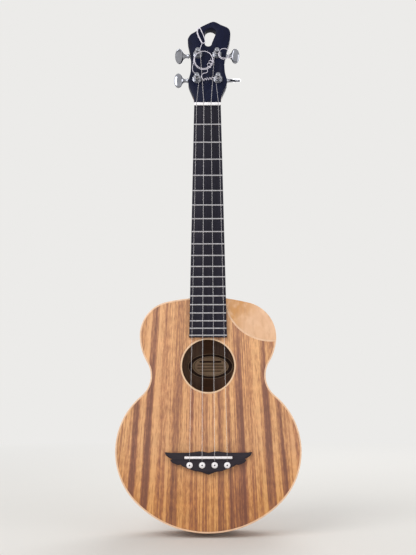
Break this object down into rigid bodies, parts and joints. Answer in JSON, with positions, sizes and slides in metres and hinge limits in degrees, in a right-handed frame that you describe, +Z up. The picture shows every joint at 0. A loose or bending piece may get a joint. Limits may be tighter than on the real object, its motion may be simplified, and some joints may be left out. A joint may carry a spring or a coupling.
{
  "type": "ukulele",
  "caption": "Tenor ukulele with a scooped treble cutaway, winged pin bridge and geared tuners whose buttons turn the string posts through worm and gear.",
  "frame": {"origin": "on the centreline where the scale starts at the nut, on the glue plane of neck and fretboard, which is also the plane of the soundboard's face", "axes": "+X to the treble side as seen from the front, +Y to the back, +Z up along the neck"},
  "size_m": [0.226, 0.0839, 0.646],
  "materials": {
    "striped_wood": "satin, straight striped grain",
    "pale_ring": "satin",
    "cream_binding": "gloss",
    "inner_wood": "bare",
    "paper_label": "matt",
    "figured_maple": "satin, figured",
    "neck_wood": "satin",
    "dark_wood": "satin",
    "fret_wire": "polished",
    "bone": "polished",
    "black_dot": "gloss",
    "dark_finish": "satin lacquer",
    "chrome": "polished",
    "steel": "bright",
    "gear_brass": "bright",
    "nylon": "clear"
  },
  "bodies": {
    "instrument": {"soundboard": "striped_wood", "soundhole_ring": "pale_ring", "top_binding": "cream_binding", "back_binding": "cream_binding", "back_plate": "striped_wood", "side_bass": "striped_wood", "side_treble": "striped_wood", "top_lining": "inner_wood", "back_lining": "inner_wood", "neck_block": "inner_wood", "tail_block": "inner_wood", "neck_dowels": "inner_wood", "top_braces": "inner_wood", "bridge_plate": "inner_wood", "back_braces": "inner_wood", "back_strip": "inner_wood", "label": "paper_label", "cutaway_bevel": "figured_maple", "bevel_binding": "cream_binding", "bevel_block": "inner_wood", "neck": "neck_wood", "heel_cap": "dark_wood", "fretboard": "dark_wood", "frets": "fret_wire", "nut": "bone", "headstock": "dark_finish", "headstock_overlay": "dark_finish", "bridge": "dark_wood", "saddle": "bone", "bridge_pins": "bone", "pin_dots": "black_dot", "tuner_bushings": "chrome", "tuner_washers": "chrome", "tuner_cases": "chrome", "tuner_screws": "chrome", "string_1": "nylon", "string_2": "nylon", "string_3": "nylon", "string_4": "nylon", "string_tail_1": "nylon", "string_tail_2": "nylon", "string_tail_3": "nylon", "string_tail_4": "nylon"},
    "button_1_turning": {"tuner_button_1": "chrome", "tuner_worm_1": "steel"},
    "post_1_turning": {"tuner_post_1": "chrome", "tuner_gear_1": "gear_brass"},
    "button_2_turning": {"tuner_button_2": "chrome", "tuner_worm_2": "steel"},
    "post_2_turning": {"tuner_post_2": "chrome", "tuner_gear_2": "gear_brass"},
    "button_3_turning": {"tuner_button_3": "chrome", "tuner_worm_3": "steel"},
    "post_3_turning": {"tuner_post_3": "chrome", "tuner_gear_3": "gear_brass"},
    "button_4_turning": {"tuner_button_4": "chrome", "tuner_worm_4": "steel"},
    "post_4_turning": {"tuner_post_4": "chrome", "tuner_gear_4": "gear_brass"}
  },
  "joints": [
    {"name": "knob_spin_1", "type": "hinge", "parent": "instrument", "child": "button_1_turning", "pos_m": [-0.0133, 0.02441, 0.04122], "axis": [1, 0, 0], "continuous": true},
    {"name": "post_spin_1", "type": "hinge", "parent": "instrument", "child": "post_1_turning", "pos_m": [-0.0133, 0.00776, 0.03712], "axis": [0, 0.9744, -0.225], "continuous": true},
    {"name": "knob_spin_2", "type": "hinge", "parent": "instrument", "child": "button_2_turning", "pos_m": [-0.0123, 0.03251, 0.0763], "axis": [1, 0, 0], "continuous": true},
    {"name": "post_spin_2", "type": "hinge", "parent": "instrument", "child": "post_2_turning", "pos_m": [-0.0123, 0.01586, 0.07219], "axis": [0, 0.9744, -0.225], "continuous": true},
    {"name": "knob_spin_3", "type": "hinge", "parent": "instrument", "child": "button_3_turning", "pos_m": [0.0123, 0.03251, 0.0763], "axis": [1, 0, 0], "continuous": true},
    {"name": "post_spin_3", "type": "hinge", "parent": "instrument", "child": "post_3_turning", "pos_m": [0.0123, 0.01586, 0.07219], "axis": [0, 0.9744, -0.225], "continuous": true},
    {"name": "knob_spin_4", "type": "hinge", "parent": "instrument", "child": "button_4_turning", "pos_m": [0.0133, 0.02441, 0.04122], "axis": [1, 0, 0], "continuous": true},
    {"name": "post_spin_4", "type": "hinge", "parent": "instrument", "child": "post_4_turning", "pos_m": [0.0133, 0.00776, 0.03712], "axis": [0, 0.9744, -0.225], "continuous": true}
  ],
  "couplings": [
    {"joint": "post_spin_1", "follows": "knob_spin_1", "ratio": 0.071429},
    {"joint": "post_spin_2", "follows": "knob_spin_2", "ratio": 0.071429},
    {"joint": "post_spin_3", "follows": "knob_spin_3", "ratio": -0.071429},
    {"joint": "post_spin_4", "follows": "knob_spin_4", "ratio": -0.071429}
  ]
}
